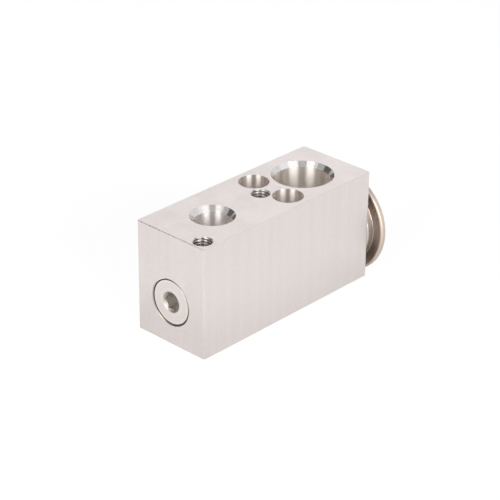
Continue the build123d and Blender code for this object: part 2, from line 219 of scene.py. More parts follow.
def make_turning_group():
    """Turning rings round an axis: noise read along the axis and along the radius.

    It is the same all the way round.
    """
    tree, sockets = group_tree(
        "turning rings",
        {"Place": "Vector", "Centre": "Vector", "Along": "Vector", "Pitch": "Float"},
        {"Height": "Float", "Tint": "Float"},
    )
    offset = vector_of(tree, "SUBTRACT", sockets["Place"], sockets["Centre"])
    along = vector_of(tree, "DOT_PRODUCT", offset, sockets["Along"])
    on_axis = vector_of(tree, "SCALE", sockets["Along"])
    tree.links.new(along, on_axis.node.inputs["Scale"])
    radius = vector_of(tree, "LENGTH", vector_of(tree, "SUBTRACT", offset, on_axis))
    spot = add(tree, "CombineXYZ", (math_of(tree, "DIVIDE", along, sockets["Pitch"]),
                                    math_of(tree, "DIVIDE", radius, sockets["Pitch"]), 0.0))
    height = add(tree, "TexNoise", {"Vector": spot, "Scale": 1.0, "Detail": 2.0, "Roughness": 0.6})
    tint = add(tree, "TexNoise", {"Vector": spot, "Scale": 0.2, "Detail": 3.0, "Roughness": 0.6})
    close_group(tree, Height=height, Tint=tint)
    return tree


grain_group = make_grain_group()
turning_group = make_turning_group()


def make_skin_group():
    """Masks over the block: its skin, level faces, cut edges, the bores' lead-ins and the screw's mouth.

    A point's distance to each face plane is half the block's size less its offset from the block's middle.
    """
    tree, sockets = group_tree(
        "block skin",
        {"Place": "Vector", "Normal": "Vector"},
        {"Skin": "Float", "Level": "Float", "End edge": "Float", "Long edge": "Float", "Slope": "Float",
         "Screw mouth": "Float"},
    )
    middle = (block_low + block_high) / 2
    half = (block_high - block_low) / 2
    from_middle = vector_of(tree, "ABSOLUTE", vector_of(tree, "SUBTRACT", sockets["Place"], middle[:]))
    inside = add(tree, "SeparateXYZ", (vector_of(tree, "SUBTRACT", half[:], from_middle),)).node.outputs
    upright = add(tree, "SeparateXYZ", (vector_of(tree, "ABSOLUTE", sockets["Normal"]),)).node.outputs["Z"]
    to_side = math_of(tree, "MINIMUM", inside["X"], inside["Y"])
    to_level = inside["Z"]
    near_side = math_of(tree, "LESS_THAN", to_side, skin_depth)
    near_level = math_of(tree, "LESS_THAN", to_level, skin_depth)
    level = math_of(tree, "MULTIPLY", near_level, math_of(tree, "GREATER_THAN", upright, square_share))
    side = math_of(tree, "MULTIPLY", near_side, math_of(tree, "LESS_THAN", upright, side_uprightness))
    both = math_of(tree, "MULTIPLY", near_side, near_level)
    skin = math_of(tree, "MAXIMUM", math_of(tree, "MAXIMUM", level, side), both)
    spot = add(tree, "SeparateXYZ", (sockets["Place"],)).node.outputs
    round_axis = add(tree, "CombineXYZ", (0.0, spot["Y"], spot["Z"]))
    from_axis = vector_of(tree, "DISTANCE", round_axis, (0.0, 0.0, axis_height))
    facing_end = add(tree, "SeparateXYZ", (sockets["Normal"],)).node.outputs["X"]
    in_mouth = math_of(tree, "MULTIPLY", math_of(tree, "LESS_THAN", from_axis, screw_mouth_reach),
                       math_of(tree, "GREATER_THAN", facing_end, -square_share))
    near_end = math_of(tree, "LESS_THAN", inside["X"], screw_mouth_depth)
    screw_mouth = math_of(tree, "MULTIPLY", in_mouth, near_end)
    skin = math_of(tree, "MULTIPLY", skin, math_of(tree, "SUBTRACT", 1.0, screw_mouth))
    edge_reach = cut_edge_break * edge_allowance
    at_level = math_of(tree, "LESS_THAN", to_level, edge_reach)
    end_edge = math_of(tree, "MULTIPLY", math_of(tree, "LESS_THAN", inside["X"], edge_reach), at_level)
    long_edge = math_of(tree, "MULTIPLY", math_of(tree, "LESS_THAN", inside["Y"], edge_reach), at_level)
    sloping = math_of(tree, "MULTIPLY", math_of(tree, "GREATER_THAN", upright, slope_uprightness[0]),
                      math_of(tree, "LESS_THAN", upright, slope_uprightness[1]))
    slope = math_of(tree, "MULTIPLY", sloping, math_of(tree, "SUBTRACT", 1.0, skin))
    close_group(tree, **{
        "Skin": skin,
        "Level": level,
        "End edge": end_edge,
        "Long edge": long_edge,
        "Slope": slope,
        "Screw mouth": screw_mouth,
    })
    return tree


def near_upright_axis(tree, place, x, y, reach):
    """1 within reach of the upright line through x and y, and 0 outside it."""
    parts = add(tree, "SeparateXYZ", (place,)).node.outputs
    level_place = add(tree, "CombineXYZ", (parts["X"], parts["Y"], 0.0))
    return math_of(tree, "LESS_THAN", vector_of(tree, "DISTANCE", level_place, (x, y, 0.0)), reach)


def make_lead_in_group():
    """The exact normal of the ports' lead-in cones, so that they mirror smoothly; elsewhere the mesh's own.

    The normal leans from the level face towards the port's axis: back along the radius by the cone's depth,
    and out of that face by its width. The point's place along X and its level face tell which port it is.
    """
    tree, sockets = group_tree("lead-in normal", {"Place": "Vector", "Normal": "Vector", "Slope": "Float"},
                               {"Normal": "Vector"})
    parts = add(tree, "SeparateXYZ", (sockets["Place"],)).node.outputs
    above = math_of(tree, "GREATER_THAN", parts["Z"], (block_low.z + block_high.z) / 2)
    suction_x = mounts["suction_outlet"]["pos_m"][0]
    from_suction = math_of(tree, "ABSOLUTE", math_of(tree, "SUBTRACT", parts["X"], suction_x))
    suction = math_of(tree, "LESS_THAN", from_suction, port_allowance * suction_reach)
    outlet_x = mounts["liquid_outlet"]["pos_m"][0]
    inlet_x = mounts["liquid_inlet"]["pos_m"][0]
    liquid_x = mixed(tree, above, outlet_x, inlet_x, kind="FLOAT")
    centre_x = mixed(tree, suction, liquid_x, suction_x, kind="FLOAT")
    liquid_lean = liquid_cone_width / liquid_cone_depth
    suction_lean = suction_cone_width / suction_cone_depth
    lean = mixed(tree, suction, liquid_lean, suction_lean, kind="FLOAT")
    outwards = add(tree, "CombineXYZ", (math_of(tree, "SUBTRACT", parts["X"], centre_x), parts["Y"], 0.0))
    facing = ramp(tree, above, 0.0, 1.0, -1.0, 1.0)
    raised = add(tree, "CombineXYZ", (0.0, 0.0, math_of(tree, "MULTIPLY", lean, facing)))
    cone_normal = vector_of(tree, "NORMALIZE", vector_of(tree, "SUBTRACT", raised,
                                                         vector_of(tree, "NORMALIZE", outwards)))
    to_top = math_of(tree, "SUBTRACT", block_high.z, parts["Z"])
    to_bottom = math_of(tree, "SUBTRACT", parts["Z"], block_low.z)
    near_face = math_of(tree, "LESS_THAN", math_of(tree, "MINIMUM", to_top, to_bottom), liquid_cone_depth)
    likeness = vector_of(tree, "DOT_PRODUCT", cone_normal, sockets["Normal"])
    agrees = math_of(tree, "GREATER_THAN", likeness, cone_agreement)
    on_cone = math_of(tree, "MULTIPLY", math_of(tree, "MULTIPLY", near_face, agrees), sockets["Slope"])
    close_group(tree, Normal=mixed(tree, on_cone, sockets["Normal"], cone_normal, kind="VECTOR"))
    return tree


streak_stretch = (2600.0, 2600.0, 45.0)
mottle_stretch = (900.0, 900.0, 900.0)
bore_ring_pitch = 0.12 * MILLIMETRE
# The two values of a noise between which a tint turns into the other
wide_run, middle_run, narrow_run = (0.3, 0.7), (0.35, 0.65), (0.4, 0.6)
dull_streak_run = (0.4, 0.62)
line_break_run = (0.42, 0.56)
# How much of the grey each kind of grain puts in
streak_share, speckle_share, dull_share = 0.03, 0.06, 0.08
line_share, line_break_least, line_fade_least = 0.6, 0.25, 0.15
line_fade_run = (-12.5 * MILLIMETRE, -6.0 * MILLIMETRE)


def make_block_aluminium():
    """Bare aluminium, with streaked sides, mottled level faces and ringed bores."""
    material, tree, shader, place = new_material("block_aluminium")
    normal = tree.nodes.new("ShaderNodeNewGeometry").outputs["Normal"]
    masks = use_group(tree, make_skin_group(), Place=place, Normal=normal)
    streaks = use_group(tree, grain_group, Place=place, Stretch=streak_stretch)
    mottle = use_group(tree, grain_group, Place=place, Stretch=mottle_stretch)
    rings = use_group(tree, turning_group, Place=place, Centre=(0.0, 0.0, 0.0), Along=(0.0, 0.0, 1.0),
                      Pitch=bore_ring_pitch)

    # The skin's tint wanders between a pinkish white and a slightly darker one
    side_light, side_dark = display(247, 238, 235), display(243, 236, 232)
    level_light, level_dark = display(249, 240, 238), display(242, 234, 231)
    grain_grey = display(150, 138, 132)
    cut_edge_grey = display(110, 95, 88)
    side_tint = mixed(tree, ramp(tree, streaks["Broad"], *narrow_run), side_light, side_dark)
    level_tint = mixed(tree, ramp(tree, mottle["Broad"], *middle_run), level_light, level_dark)
    skin_tint = mixed(tree, masks["Level"], side_tint, level_tint)
    drawn = ramp(tree, streaks["Fine"], *wide_run, 0.0, streak_share)
    speckled = ramp(tree, mottle["Fine"], *wide_run, 0.0, speckle_share)
    grained = math_of(tree, "ADD", drawn, speckled)
    skin_tint = mixed(tree, grained, skin_tint, grain_grey)
    # A broken grey line follows the cut edges of the end faces, and fades towards -Y
    broken = ramp(tree, mottle["Fine"], *line_break_run, line_break_least, 1.0)
    across = add(tree, "SeparateXYZ", (place,)).node.outputs["Y"]
    fading = ramp(tree, across, *line_fade_run, line_fade_least, 1.0)
    edge_line = math_of(tree, "MULTIPLY", math_of(tree, "MULTIPLY", masks["End edge"], broken), fading)
    skin_tint = mixed(tree, math_of(tree, "MULTIPLY", edge_line, line_share), skin_tint, cut_edge_grey)
    skin_tint = mixed(tree, masks["Long edge"], skin_tint, display(240, 231, 227))
    # The large port, the recesses, the lead-ins, the screw's mouth and the tapped holes have their own tints;
    # those of the screw's mouth and the thread flanks are painted shade
    bored_tint = display(251, 245, 242)
    lead_in_tint = display(239, 235, 233)
    bored_grey = display(120, 112, 104)
    # The screw's mouth is tinted darker as painted shade in the narrow gap round the adjusting screw
    screw_mouth_shade = display(204, 191, 182)
    # The flanks' dark brown is painted shade in the thread's grooves
    thread_wall_tint, thread_flank_shade = display(244, 236, 231), display(112, 98, 90)
    half_spacing = mounts["through_bolts"]["dims"]["spacing_y_mm"] / 2 * MILLIMETRE
    bolts_x = mounts["through_bolts"]["pos_m"][0]
    for x, y, reach, tint in (
        (mounts["suction_outlet"]["pos_m"][0], 0.0, suction_reach, display(246, 238, 230)),
        (bolts_x, -half_spacing, recess_reach, display(234, 225, 219)),
        (bolts_x, half_spacing, recess_reach, display(234, 224, 218)),
    ):
        bored_tint = mixed(tree, near_upright_axis(tree, place, x, y, reach), bored_tint, tint)
    bored_tint = mixed(tree, masks["Slope"], bored_tint, lead_in_tint)
    ringed = ramp(tree, rings["Tint"], *wide_run, 0.0, dull_share)
    streaked = ramp(tree, streaks["Broad"], *dull_streak_run, 0.0, dull_share)
    dulled = mixed(tree, ringed, bored_tint, bored_grey)
    dulled = mixed(tree, streaked, dulled, bored_grey)
    dulled = mixed(tree, masks["Screw mouth"], dulled, screw_mouth_shade)
    in_tapped = math_of(tree, "MAXIMUM", *[
        near_upright_axis(tree, place, *mounts[name]["pos_m"][:2], tapped_reach)
        for name in ("pipe_plate_thread", "corner_thread")
    ])
    thread_tint = mixed(tree, masks["Slope"], thread_wall_tint, thread_flank_shade)
    dulled = mixed(tree, in_tapped, dulled, thread_tint)
    colour = mixed(tree, masks["Skin"], dulled, skin_tint)

    skin_smoothest, skin_unevenness = 0.24, 0.12
    wall_roughness, lead_in_roughness, mouth_roughness, tapped_roughness = 0.42, 0.12, 0.5, 0.4
    uneven = math_of(tree, "MULTIPLY", mottle["Fine"], skin_unevenness)
    skin_roughness = math_of(tree, "ADD", skin_smoothest, uneven)
    bored_roughness = mixed(tree, masks["Slope"], wall_roughness, lead_in_roughness, kind="FLOAT")
    bored_roughness = mixed(tree, masks["Screw mouth"], bored_roughness, mouth_roughness, kind="FLOAT")
    bored_roughness = mixed(tree, in_tapped, bored_roughness, tapped_roughness, kind="FLOAT")
    roughness = mixed(tree, masks["Skin"], bored_roughness, skin_roughness, kind="FLOAT")
    skin_height = mixed(tree, masks["Level"], streaks["Fine"], mottle["Fine"], kind="FLOAT")
    height = mixed(tree, masks["Skin"], rings["Height"], skin_height, kind="FLOAT")
    turned = use_group(tree, make_lead_in_group(), Place=place, Normal=normal, Slope=masks["Slope"])["Normal"]
    groove_depth = 0.03 * MILLIMETRE
    bump = add(tree, "Bump", {"Strength": 0.25, "Distance": groove_depth, "Height": height, "Normal": turned})

    # The tangent is the way that grooves scatter light: up the bores, sideways on the sides, along X on the
    # level faces
    sideways = vector_of(tree, "CROSS_PRODUCT", normal, (0.0, 0.0, 1.0))
    tangent = mixed(tree, masks["Skin"], (0.0, 0.0, 1.0), sideways, kind="VECTOR")
    tangent = mixed(tree, masks["Level"], tangent, (1.0, 0.0, 0.0), kind="VECTOR")
    set_sockets(tree, shader, {
        "Base Color": colour,
        "Metallic": 1.0,
        "Roughness": roughness,
        "Anisotropic": 1.0,
        "Tangent": tangent,
        "Normal": bump,
    })
    return material


block_aluminium = make_block_aluminium()


def dress(node, material):
    """Gives a CAD node its material."""
    mesh = frame["nodes"][node].data
    mesh.materials.clear()
    mesh.materials.append(material)


dress("valve_block", block_aluminium)

# Tapped holes
# Two coarse M6 threads, cut with a tap into the aluminium block. Each is a helical ridge that stands on its
# hole's wall; its flanks are tinted dark brown as painted shade in the grooves.

thread_major_radius = 3.0 * MILLIMETRE
thread_minor_radius = 2.6 * MILLIMETRE
thread_pitch = 1.0 * MILLIMETRE
thread_sunk = 0.03 * MILLIMETRE
thread_mouth_radius = 3.25 * MILLIMETRE
thread_top_depth = 0.55 * MILLIMETRE
thread_top_degrees = 169
thread_flank_degrees = 30
thread_root_share = 0.44
run_out_turns = 0.3
run_out_least = 0.02
plain_turns_at_bottom = 1.5
mouth_thickness_share = 0.05
steps_in_turn = 48


def new_piece(name, points, faces, material, smooth=True, rides=True):
    """A piece from its points and faces, in the frame's own place.

    It rides on the valve body, unless rides is false.
    """
    mesh = bpy.data.meshes.new(name)
    mesh.from_pydata(points.tolist(), [], faces.tolist() if isinstance(faces, np.ndarray) else faces)
    mesh.validate()
    mesh.polygons.foreach_set("use_smooth", np.full(len(mesh.polygons), smooth))
    piece = bpy.data.objects.new(name, mesh)
    bpy.context.scene.collection.objects.link(piece)
    mesh.materials.append(material)
    if rides:
        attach(piece, "valve_body")
    return piece


def grid_faces(rows, columns, close_rows=False, close_columns=False):
    """Four-sided faces of a grid of points, row by row, closed on itself where asked."""
    row = np.arange(rows if close_rows else rows - 1)[:, None]
    column = np.arange(columns if close_columns else columns - 1)[None, :]
    next_row = (row + 1) % rows
    next_column = (column + 1) % columns
    corners = (row * columns + column, row * columns + next_column,
               next_row * columns + next_column, next_row * columns + column)
    return np.stack([corner.ravel() for corner in corners], axis=1)


def tap_thread(name, mount, top_angle):
    """A ridge of four-cornered section along a helix, whose crest runs out into the wall at both ends.

    Along the helix the angle grows evenly and the height with it, one pitch for each turn. The hole's mouth
    is a cone of 45 degrees that cuts the ridge's top: no point is higher than the cone at its own radius.
    """
    x, y = mount["pos_m"][:2]
    top = block_high.z - thread_top_depth
    length = mount["dims"]["length_mm"] * MILLIMETRE - plain_turns_at_bottom * thread_pitch
    turns = int(length / thread_pitch)
    steps = turns * steps_in_turn
    turn = np.linspace(0, turns, steps + 1)
    run_out = np.clip(np.minimum(turn, turns - turn) / run_out_turns, run_out_least, 1.0)
    crest = thread_major_radius - (thread_major_radius - thread_minor_radius) * run_out
    wall = np.full_like(turn, thread_major_radius + thread_sunk)
    root_half = thread_root_share * thread_pitch
    flank_slope = math.tan(math.radians(thread_flank_degrees))
    crest_half = root_half - (thread_major_radius - thread_minor_radius) * flank_slope
    radius = np.stack([wall, crest, crest, wall], axis=1)
    offset = np.array([-root_half, -crest_half, crest_half, root_half])[None, :]
    angle = math.radians(top_angle) + 2 * math.pi * (turn[:, None] - turns)
    height = top - (turns - turn[:, None]) * thread_pitch + offset
    mouth = block_high.z - (thread_mouth_radius - radius) + offset * mouth_thickness_share - 0.5 * thread_sunk
    height = np.minimum(height, mouth)
    points = np.stack([x + radius * np.cos(angle), y + radius * np.sin(angle), height + 0 * radius], axis=2)
    faces = grid_faces(steps + 1, 4, close_columns=True).tolist()
    last = steps * 4
    faces += [[0, 1, 2, 3], [last + 3, last + 2, last + 1, last]]
    return new_piece(name, points.reshape(-1, 3), faces, block_aluminium, smooth=False)


tap_thread("thread_pipe_plate", mounts["pipe_plate_thread"], thread_top_degrees)
tap_thread("thread_corner", mounts["corner_thread"], thread_top_degrees)

# Adjusting screw
# A turned aluminium plug with a hexagon socket, screwed into the block's end until the spring's load is
# right. Its face keeps the lathe's rings; the socket, its mouth cone and the screw's rim are painted darker
# as shade.

screw_low, screw_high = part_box("adjusting_screw")
socket_reach = 3.7 * MILLIMETRE
socket_cone_depth = 0.8 * MILLIMETRE
socket_tint_start, socket_tint_full = 0.02 * MILLIMETRE, 0.1 * MILLIMETRE
cone_tint_end = socket_cone_depth + 0.05 * MILLIMETRE
dark_rim_width, full_rim_width = 0.45 * MILLIMETRE, 0.3 * MILLIMETRE
screw_face_roughness, screw_socket_roughness = 0.34, 0.5
screw_ring_pitch = 0.16 * MILLIMETRE


def make_screw_aluminium():
    """Turned aluminium with rings round the valve axis; the socket, its mouth cone and the rim are painted
    darker as shade.
    """
    material, tree, shader, place = new_material("screw_aluminium")
    centre = (screw_low.x, 0.0, axis_height)
    rings = use_group(tree, turning_group, Place=place, Centre=centre, Along=(1.0, 0.0, 0.0),
                      Pitch=screw_ring_pitch)
    face_light, face_dark = display(243, 233, 229), display(229, 220, 216)
    face_tint = mixed(tree, ramp(tree, rings["Tint"], *middle_run), face_light, face_dark)
    offset = vector_of(tree, "SUBTRACT", place, centre)
    parts = add(tree, "SeparateXYZ", (offset,)).node.outputs
    flat = add(tree, "CombineXYZ", (0.0, parts["Y"], parts["Z"]))
    from_axis = vector_of(tree, "LENGTH", flat)
    in_socket = math_of(tree, "MULTIPLY", math_of(tree, "LESS_THAN", from_axis, socket_reach),
                        ramp(tree, parts["X"], socket_tint_start, socket_tint_full))
    # The socket is painted darker inside as shade, and its mouth cone darker, which also damps the lamps'
    # glint there
    colour = mixed(tree, in_socket, face_tint, display(198, 194, 187))
    within_cone = ramp(tree, parts["X"], socket_cone_depth, cone_tint_end, 1.0, 0.0)
    on_cone = math_of(tree, "MULTIPLY", in_socket, within_cone)
    colour = mixed(tree, on_cone, colour, display(178, 169, 162))
    # The dark rim is painted shade in the gap between the screw and the block
    at_rim = ramp(tree, from_axis, screw_high.y - dark_rim_width, screw_high.y - full_rim_width)
    colour = mixed(tree, at_rim, colour, display(118, 104, 96))
    bump = add(tree, "Bump", {"Strength": 0.5, "Distance": 0.04 * MILLIMETRE, "Height": rings["Height"]})
    rougher = math_of(tree, "MAXIMUM", in_socket, at_rim)
    set_sockets(tree, shader, {
        "Base Color": colour,
        "Metallic": 1.0,
        "Roughness": mixed(tree, rougher, screw_face_roughness, screw_socket_roughness, kind="FLOAT"),
        "Normal": bump,
    })
    return material


dress("adjusting_screw", make_screw_aluminium())

# Inner parts
# The ball, its carrier, the rods, the plate and the rings with fingers are turned, ground or stamped from
# steel and aluminium, and show only through the ports, if at all. The spring is wound from steel wire. It is
# built as two half coils, one at the screw's end and the other at the carrier's.

fine_ring_pitch = 0.2 * MILLIMETRE
wire_ring_pitch = 0.4 * MILLIMETRE
ball_ring_pitch = 2.0 * MILLIMETRE
# How far the roughness varies, and how far below the given one it starts
inner_unevenness, inner_start = 0.15, 0.07


def make_turned_metal(name, light, dark, roughness, pitch):
    """Metal with rings round the valve axis, which vary its tint, height and roughness a little."""
    material, tree, shader, place = new_material(name)
    rings = use_group(tree, turning_group, Place=place, Centre=(0.0, 0.0, axis_height), Along=(1.0, 0.0, 0.0),
                      Pitch=pitch)
    colour = mixed(tree, ramp(tree, rings["Tint"], *wide_run), light, dark)
    bump = add(tree, "Bump", {"Strength": 0.3, "Distance": 0.02 * MILLIMETRE, "Height": rings["Height"]})
    uneven = math_of(tree, "MULTIPLY_ADD", rings["Tint"], inner_unevenness, roughness - inner_start)
    set_sockets(tree, shader, {"Base Color": colour, "Metallic": 1.0, "Roughness": uneven, "Normal": bump})
    return material


inner_steel = make_turned_metal(
    "inner_steel", display(190, 188, 184), display(165, 163, 160), 0.28, fine_ring_pitch)
spring_steel = make_turned_metal(
    "spring_steel", display(160, 160, 162), display(128, 128, 132), 0.32, wire_ring_pitch)
ball_steel = make_turned_metal(
    "ball_steel", display(214, 214, 215), display(206, 206, 208), 0.12, ball_ring_pitch)
rod_aluminium = make_turned_metal(
    "rod_aluminium", display(226, 222, 220), display(208, 204, 202), 0.3, fine_ring_pitch)
finishes = {
    "ball_carrier": inner_steel,
    "push_rod": inner_steel,
    "damping_ring": spring_steel,
    "rod_seal_retainer": spring_steel,
    "valve_ball": ball_steel,
    "sensing_rod": rod_aluminium,
    "diaphragm_plate": rod_aluminium,
}
for node, finish in finishes.items():
    dress(node, finish)

spring_low, spring_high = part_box("superheat_spring")
coil_radius = 4.0 * MILLIMETRE
wire_radius = 0.55 * MILLIMETRE
coil_turns = 5
wire_sides = 12
merge_distance = 1e-7
sharp_degrees = 32


def close_poles_and_face_outwards(mesh):
    """Merges the points that meet on the axis, turns every face outwards and marks the sharp edges."""
    work = bmesh.new()
    work.from_mesh(mesh)
    bmesh.ops.remove_doubles(work, verts=work.verts, dist=merge_distance)
    bmesh.ops.recalc_face_normals(work, faces=work.faces)
    work.to_mesh(mesh)
    work.free()
    mesh.set_sharp_from_angle(angle=math.radians(sharp_degrees))


def half_spring(name, first_turn, last_turn):
    """Half of the coil spring, from its outer end to the spring's middle.

    The wire's middle line turns about the valve axis at the coil's radius and advances one pitch for each
    turn. Its round section stands on the coil's radius and on the line square to both that radius and the
    wire. The spring's ends are ground flat: no point lies past them.
    """
    turn = np.linspace(first_turn, last_turn, int((last_turn - first_turn) * steps_in_turn) + 1)[:, None]
    side = np.linspace(0, 2 * math.pi, wire_sides, endpoint=False)[None, :]
    pitch = (spring_high.x - spring_low.x) / coil_turns
    rise = pitch / (2 * math.pi)
    slant = math.hypot(rise, coil_radius)
    angle = 2 * math.pi * turn
    radius = coil_radius + wire_radius * np.cos(side)
    over = wire_radius * np.sin(side)
    x = spring_low.x + pitch * turn - over * coil_radius / slant
    y = radius * np.cos(angle) - over * rise / slant * np.sin(angle)
    z = radius * np.sin(angle) + over * rise / slant * np.cos(angle)
    points = np.stack([np.clip(x, spring_low.x, spring_high.x), y, axis_height + z], axis=2)
    faces = grid_faces(len(turn), wire_sides, close_columns=True).tolist()
    last = (len(turn) - 1) * wire_sides
    faces += [list(range(wire_sides)), list(range(last, last + wire_sides))]
    piece = new_piece(name, points.reshape(-1, 3), faces, spring_steel, rides=False)
    close_poles_and_face_outwards(piece.data)
    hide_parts("superheat_spring")
    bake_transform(piece)


half_spring("spring_on_screw", 0, coil_turns / 2)
half_spring("spring_on_carrier", coil_turns / 2, coil_turns)

# Rubber rings
# Three moulded rings seal the screw, the push rod and the head's neck.
# The rubber is black and a little dusty.

dust_stretch = (3000.0, 3000.0, 3000.0)
dust_run = (0.45, 0.75)
rubber_smoothest, rubber_unevenness = 0.45, 0.2


def make_seal_rubber():
    """Black rubber with a fine grey dust."""
    material, tree, shader, place = new_material("seal_rubber")
    dust = use_group(tree, grain_group, Place=place, Stretch=dust_stretch)
    clean, dusty = display(30, 32, 30), display(58, 60, 56)
    colour = mixed(tree, ramp(tree, dust["Fine"], *dust_run), clean, dusty)
    bump = add(tree, "Bump", {"Strength": 0.2, "Distance": 0.03 * MILLIMETRE, "Height": dust["Fine"]})
    roughness = math_of(tree, "MULTIPLY_ADD", dust["Broad"], rubber_unevenness, rubber_smoothest)
    set_sockets(tree, shader, {"Base Color": colour, "Roughness": roughness, "Normal": bump})
    return material


seal_rubber = make_seal_rubber()
for node in ("adjusting_screw_o_ring", "rod_seal_o_ring", "head_o_ring"):
    dress(node, seal_rubber)

# Power head
# Two covers are pressed from stainless sheet, with the diaphragm welded between their rims. The lower one has
# the neck that screws into the block, and the weld bead round the rim has taken a straw tint from its heat.

cover_low, cover_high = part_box("head_lower_cover")
weld_low, weld_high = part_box("rim_weld")
sheet = 0.9 * MILLIMETRE
neck_radius = 11.1 * MILLIMETRE
neck_bore_radius = 9.55 * MILLIMETRE
cup_radius = 14.3 * MILLIMETRE
cup_corner = 0.8 * MILLIMETRE
bend = 0.2 * MILLIMETRE
neck_length = 5.8 * MILLIMETRE
weld_rounding = 0.5 * MILLIMETRE
head_ring_pitch = 0.2 * MILLIMETRE
head_stretch = (1500.0, 1500.0, 1500.0)
head_unevenness, head_start = 0.12, 0.06
head_grain_weight, head_ring_weight = 0.6, 0.4
steps_round_head = 144
steps_in_rounding = 6


def rounded_profile(corners):
    """A closed profile in (x, radius), where a corner's rounding is an arc that touches both its sides.

    The arc's centre lies on the corner's bisector, at the rounding over the sine of half the corner's angle.
    """
    corner = np.array([(x, radius) for x, radius, rounding in corners])
    before = np.roll(corner, 1, axis=0) - corner
    after = np.roll(corner, -1, axis=0) - corner
    before /= np.linalg.norm(before, axis=1, keepdims=True)
    after /= np.linalg.norm(after, axis=1, keepdims=True)
    profile = []
    for index, (x, radius, rounding) in enumerate(corners):
        if rounding == 0:
            profile.append(corner[index][None, :])
            continue
        bisector = before[index] + after[index]
        bisector /= np.linalg.norm(bisector)
        half_angle = math.acos(float(before[index] @ bisector))
        centre = corner[index] + bisector * rounding / math.sin(half_angle)
        start = corner[index] + before[index] * rounding / math.tan(half_angle) - centre
        end = corner[index] + after[index] * rounding / math.tan(half_angle) - centre
        share = np.linspace(0, 1, steps_in_rounding + 1)[:, None]
        sweep = math.pi - 2 * half_angle
        arc = (np.sin((1 - share) * sweep) * start + np.sin(share * sweep) * end) / math.sin(sweep)
        profile.append(centre + arc)
    return np.concatenate(profile)


def turned_piece(name, corners, material, rides=True):
    """A closed profile turned about the valve axis. A profile point at radius zero closes the pole."""
    profile = rounded_profile(corners)
    angle = np.linspace(0, 2 * math.pi, steps_round_head, endpoint=False)[:, None]
    x = profile[None, :, 0] + 0 * angle
    radius = profile[None, :, 1] + 0 * angle
    points = np.stack([x, radius * np.cos(angle), axis_height + radius * np.sin(angle)], axis=2)
    faces = grid_faces(len(angle), profile.shape[0], close_rows=True, close_columns=True)
    piece = new_piece(name, points.reshape(-1, 3), faces, material, rides=rides)
    close_poles_and_face_outwards(piece.data)
    return piece


def make_head_steel(name, light, dark, roughness, heat_and_shade):
    """Stainless steel, darkened by heat_and_shade from 0 to 1 beyond the cup's radius: partly the weld's heat
    tint, partly painted shade where the flange faces the block's end across the narrow gap.
    """
    material, tree, shader, place = new_material(name)
    rings = use_group(tree, turning_group, Place=place, Centre=(0.0, 0.0, axis_height), Along=(1.0, 0.0, 0.0),
                      Pitch=head_ring_pitch)
    grain = use_group(tree, grain_group, Place=place, Stretch=head_stretch)
    ring_part = math_of(tree, "MULTIPLY", rings["Tint"], head_ring_weight)
    share = math_of(tree, "MULTIPLY_ADD", grain["Broad"], head_grain_weight, ring_part)
    colour = mixed(tree, ramp(tree, share, *middle_run), light, dark)
    parts = add(tree, "SeparateXYZ", (place,)).node.outputs
    from_axis = vector_of(tree, "DISTANCE", add(tree, "CombineXYZ", (0.0, parts["Y"], parts["Z"])),
                          (0.0, 0.0, axis_height))
    # Beyond the cup's radius the tint darkens: partly the weld's heat tint, partly painted shade where the
    # flange faces the block's end
    heat_and_shade_start, heat_and_shade_full = cup_radius + 0.02 * MILLIMETRE, cup_radius + 0.1 * MILLIMETRE
    heat_and_shade_share = ramp(tree, from_axis, heat_and_shade_start, heat_and_shade_full, 0.0, heat_and_shade)
    colour = mixed(tree, heat_and_shade_share, colour, display(120, 104, 88))
    bump = add(tree, "Bump", {"Strength": 0.25, "Distance": 0.03 * MILLIMETRE, "Height": rings["Height"]})
    uneven = math_of(tree, "MULTIPLY_ADD", grain["Fine"], head_unevenness, roughness - head_start)
    set_sockets(tree, shader, {"Base Color": colour, "Metallic": 1.0, "Roughness": uneven, "Normal": bump})
    return material


head_steel = make_head_steel("head_steel", display(208, 199, 194), display(192, 183, 178), 0.32, 0.66)
weld_straw = make_head_steel("weld_straw", display(213, 200, 188), display(202, 187, 174), 0.5, 0.0)

head_face = cover_low.x + neck_length
flange_face = cover_high.x - sheet
flange_radius = cover_high.y
lower_cover = turned_piece("power_head_lower_cover", (
    (cover_low.x, neck_bore_radius, 0),
    (cover_low.x, neck_radius, bend / 2),
    (head_face, neck_radius, 0),
    (head_face, cup_radius, cup_corner),
    (flange_face, cup_radius, bend),
    (flange_face, flange_radius, 0),
    (cover_high.x, flange_radius, 0),
    (cover_high.x, cup_radius - sheet, bend),
    (head_face + sheet, cup_radius - sheet, bend),
    (head_face + sheet, neck_bore_radius, 0),
), head_steel)
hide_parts("head_lower_cover")

weld = turned_piece("power_head_rim_weld", (
    (weld_low.x, flange_radius, 0),
    (weld_low.x, weld_high.y, weld_rounding),
    (weld_high.x, weld_high.y, weld_rounding),
    (weld_high.x, flange_radius, 0),
), weld_straw)
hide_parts("rim_weld")

# The diaphragm's rim is held in the weld, and a ring-shaped wave runs round its middle beside the plate's
# edge.
# In the valve, the wave takes up the plate's motion.
disc_low, disc_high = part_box("diaphragm")
plate_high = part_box("diaphragm_plate")[1]
disc_sheet = 0.2 * MILLIMETRE
wave_height = 0.35 * MILLIMETRE
wave_half_width = 1.1 * MILLIMETRE
disc_face = cover_high.x
disc_line = (
    (disc_face, disc_high.y),
    (disc_face, plate_high.y + wave_half_width),
    (disc_face + wave_height, plate_high.y),
    (disc_low.x, plate_high.y - wave_half_width),
    (disc_low.x, 0.0),
)
diaphragm = turned_piece("power_head_diaphragm", [
    *((x, radius, 0) for x, radius in disc_line),
    *((x + disc_sheet, radius, 0) for x, radius in reversed(disc_line)),
], head_steel, rides=False)
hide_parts("diaphragm")
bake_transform(diaphragm)

dress("head_upper_cover", head_steel)
dress("charge_plug", head_steel)

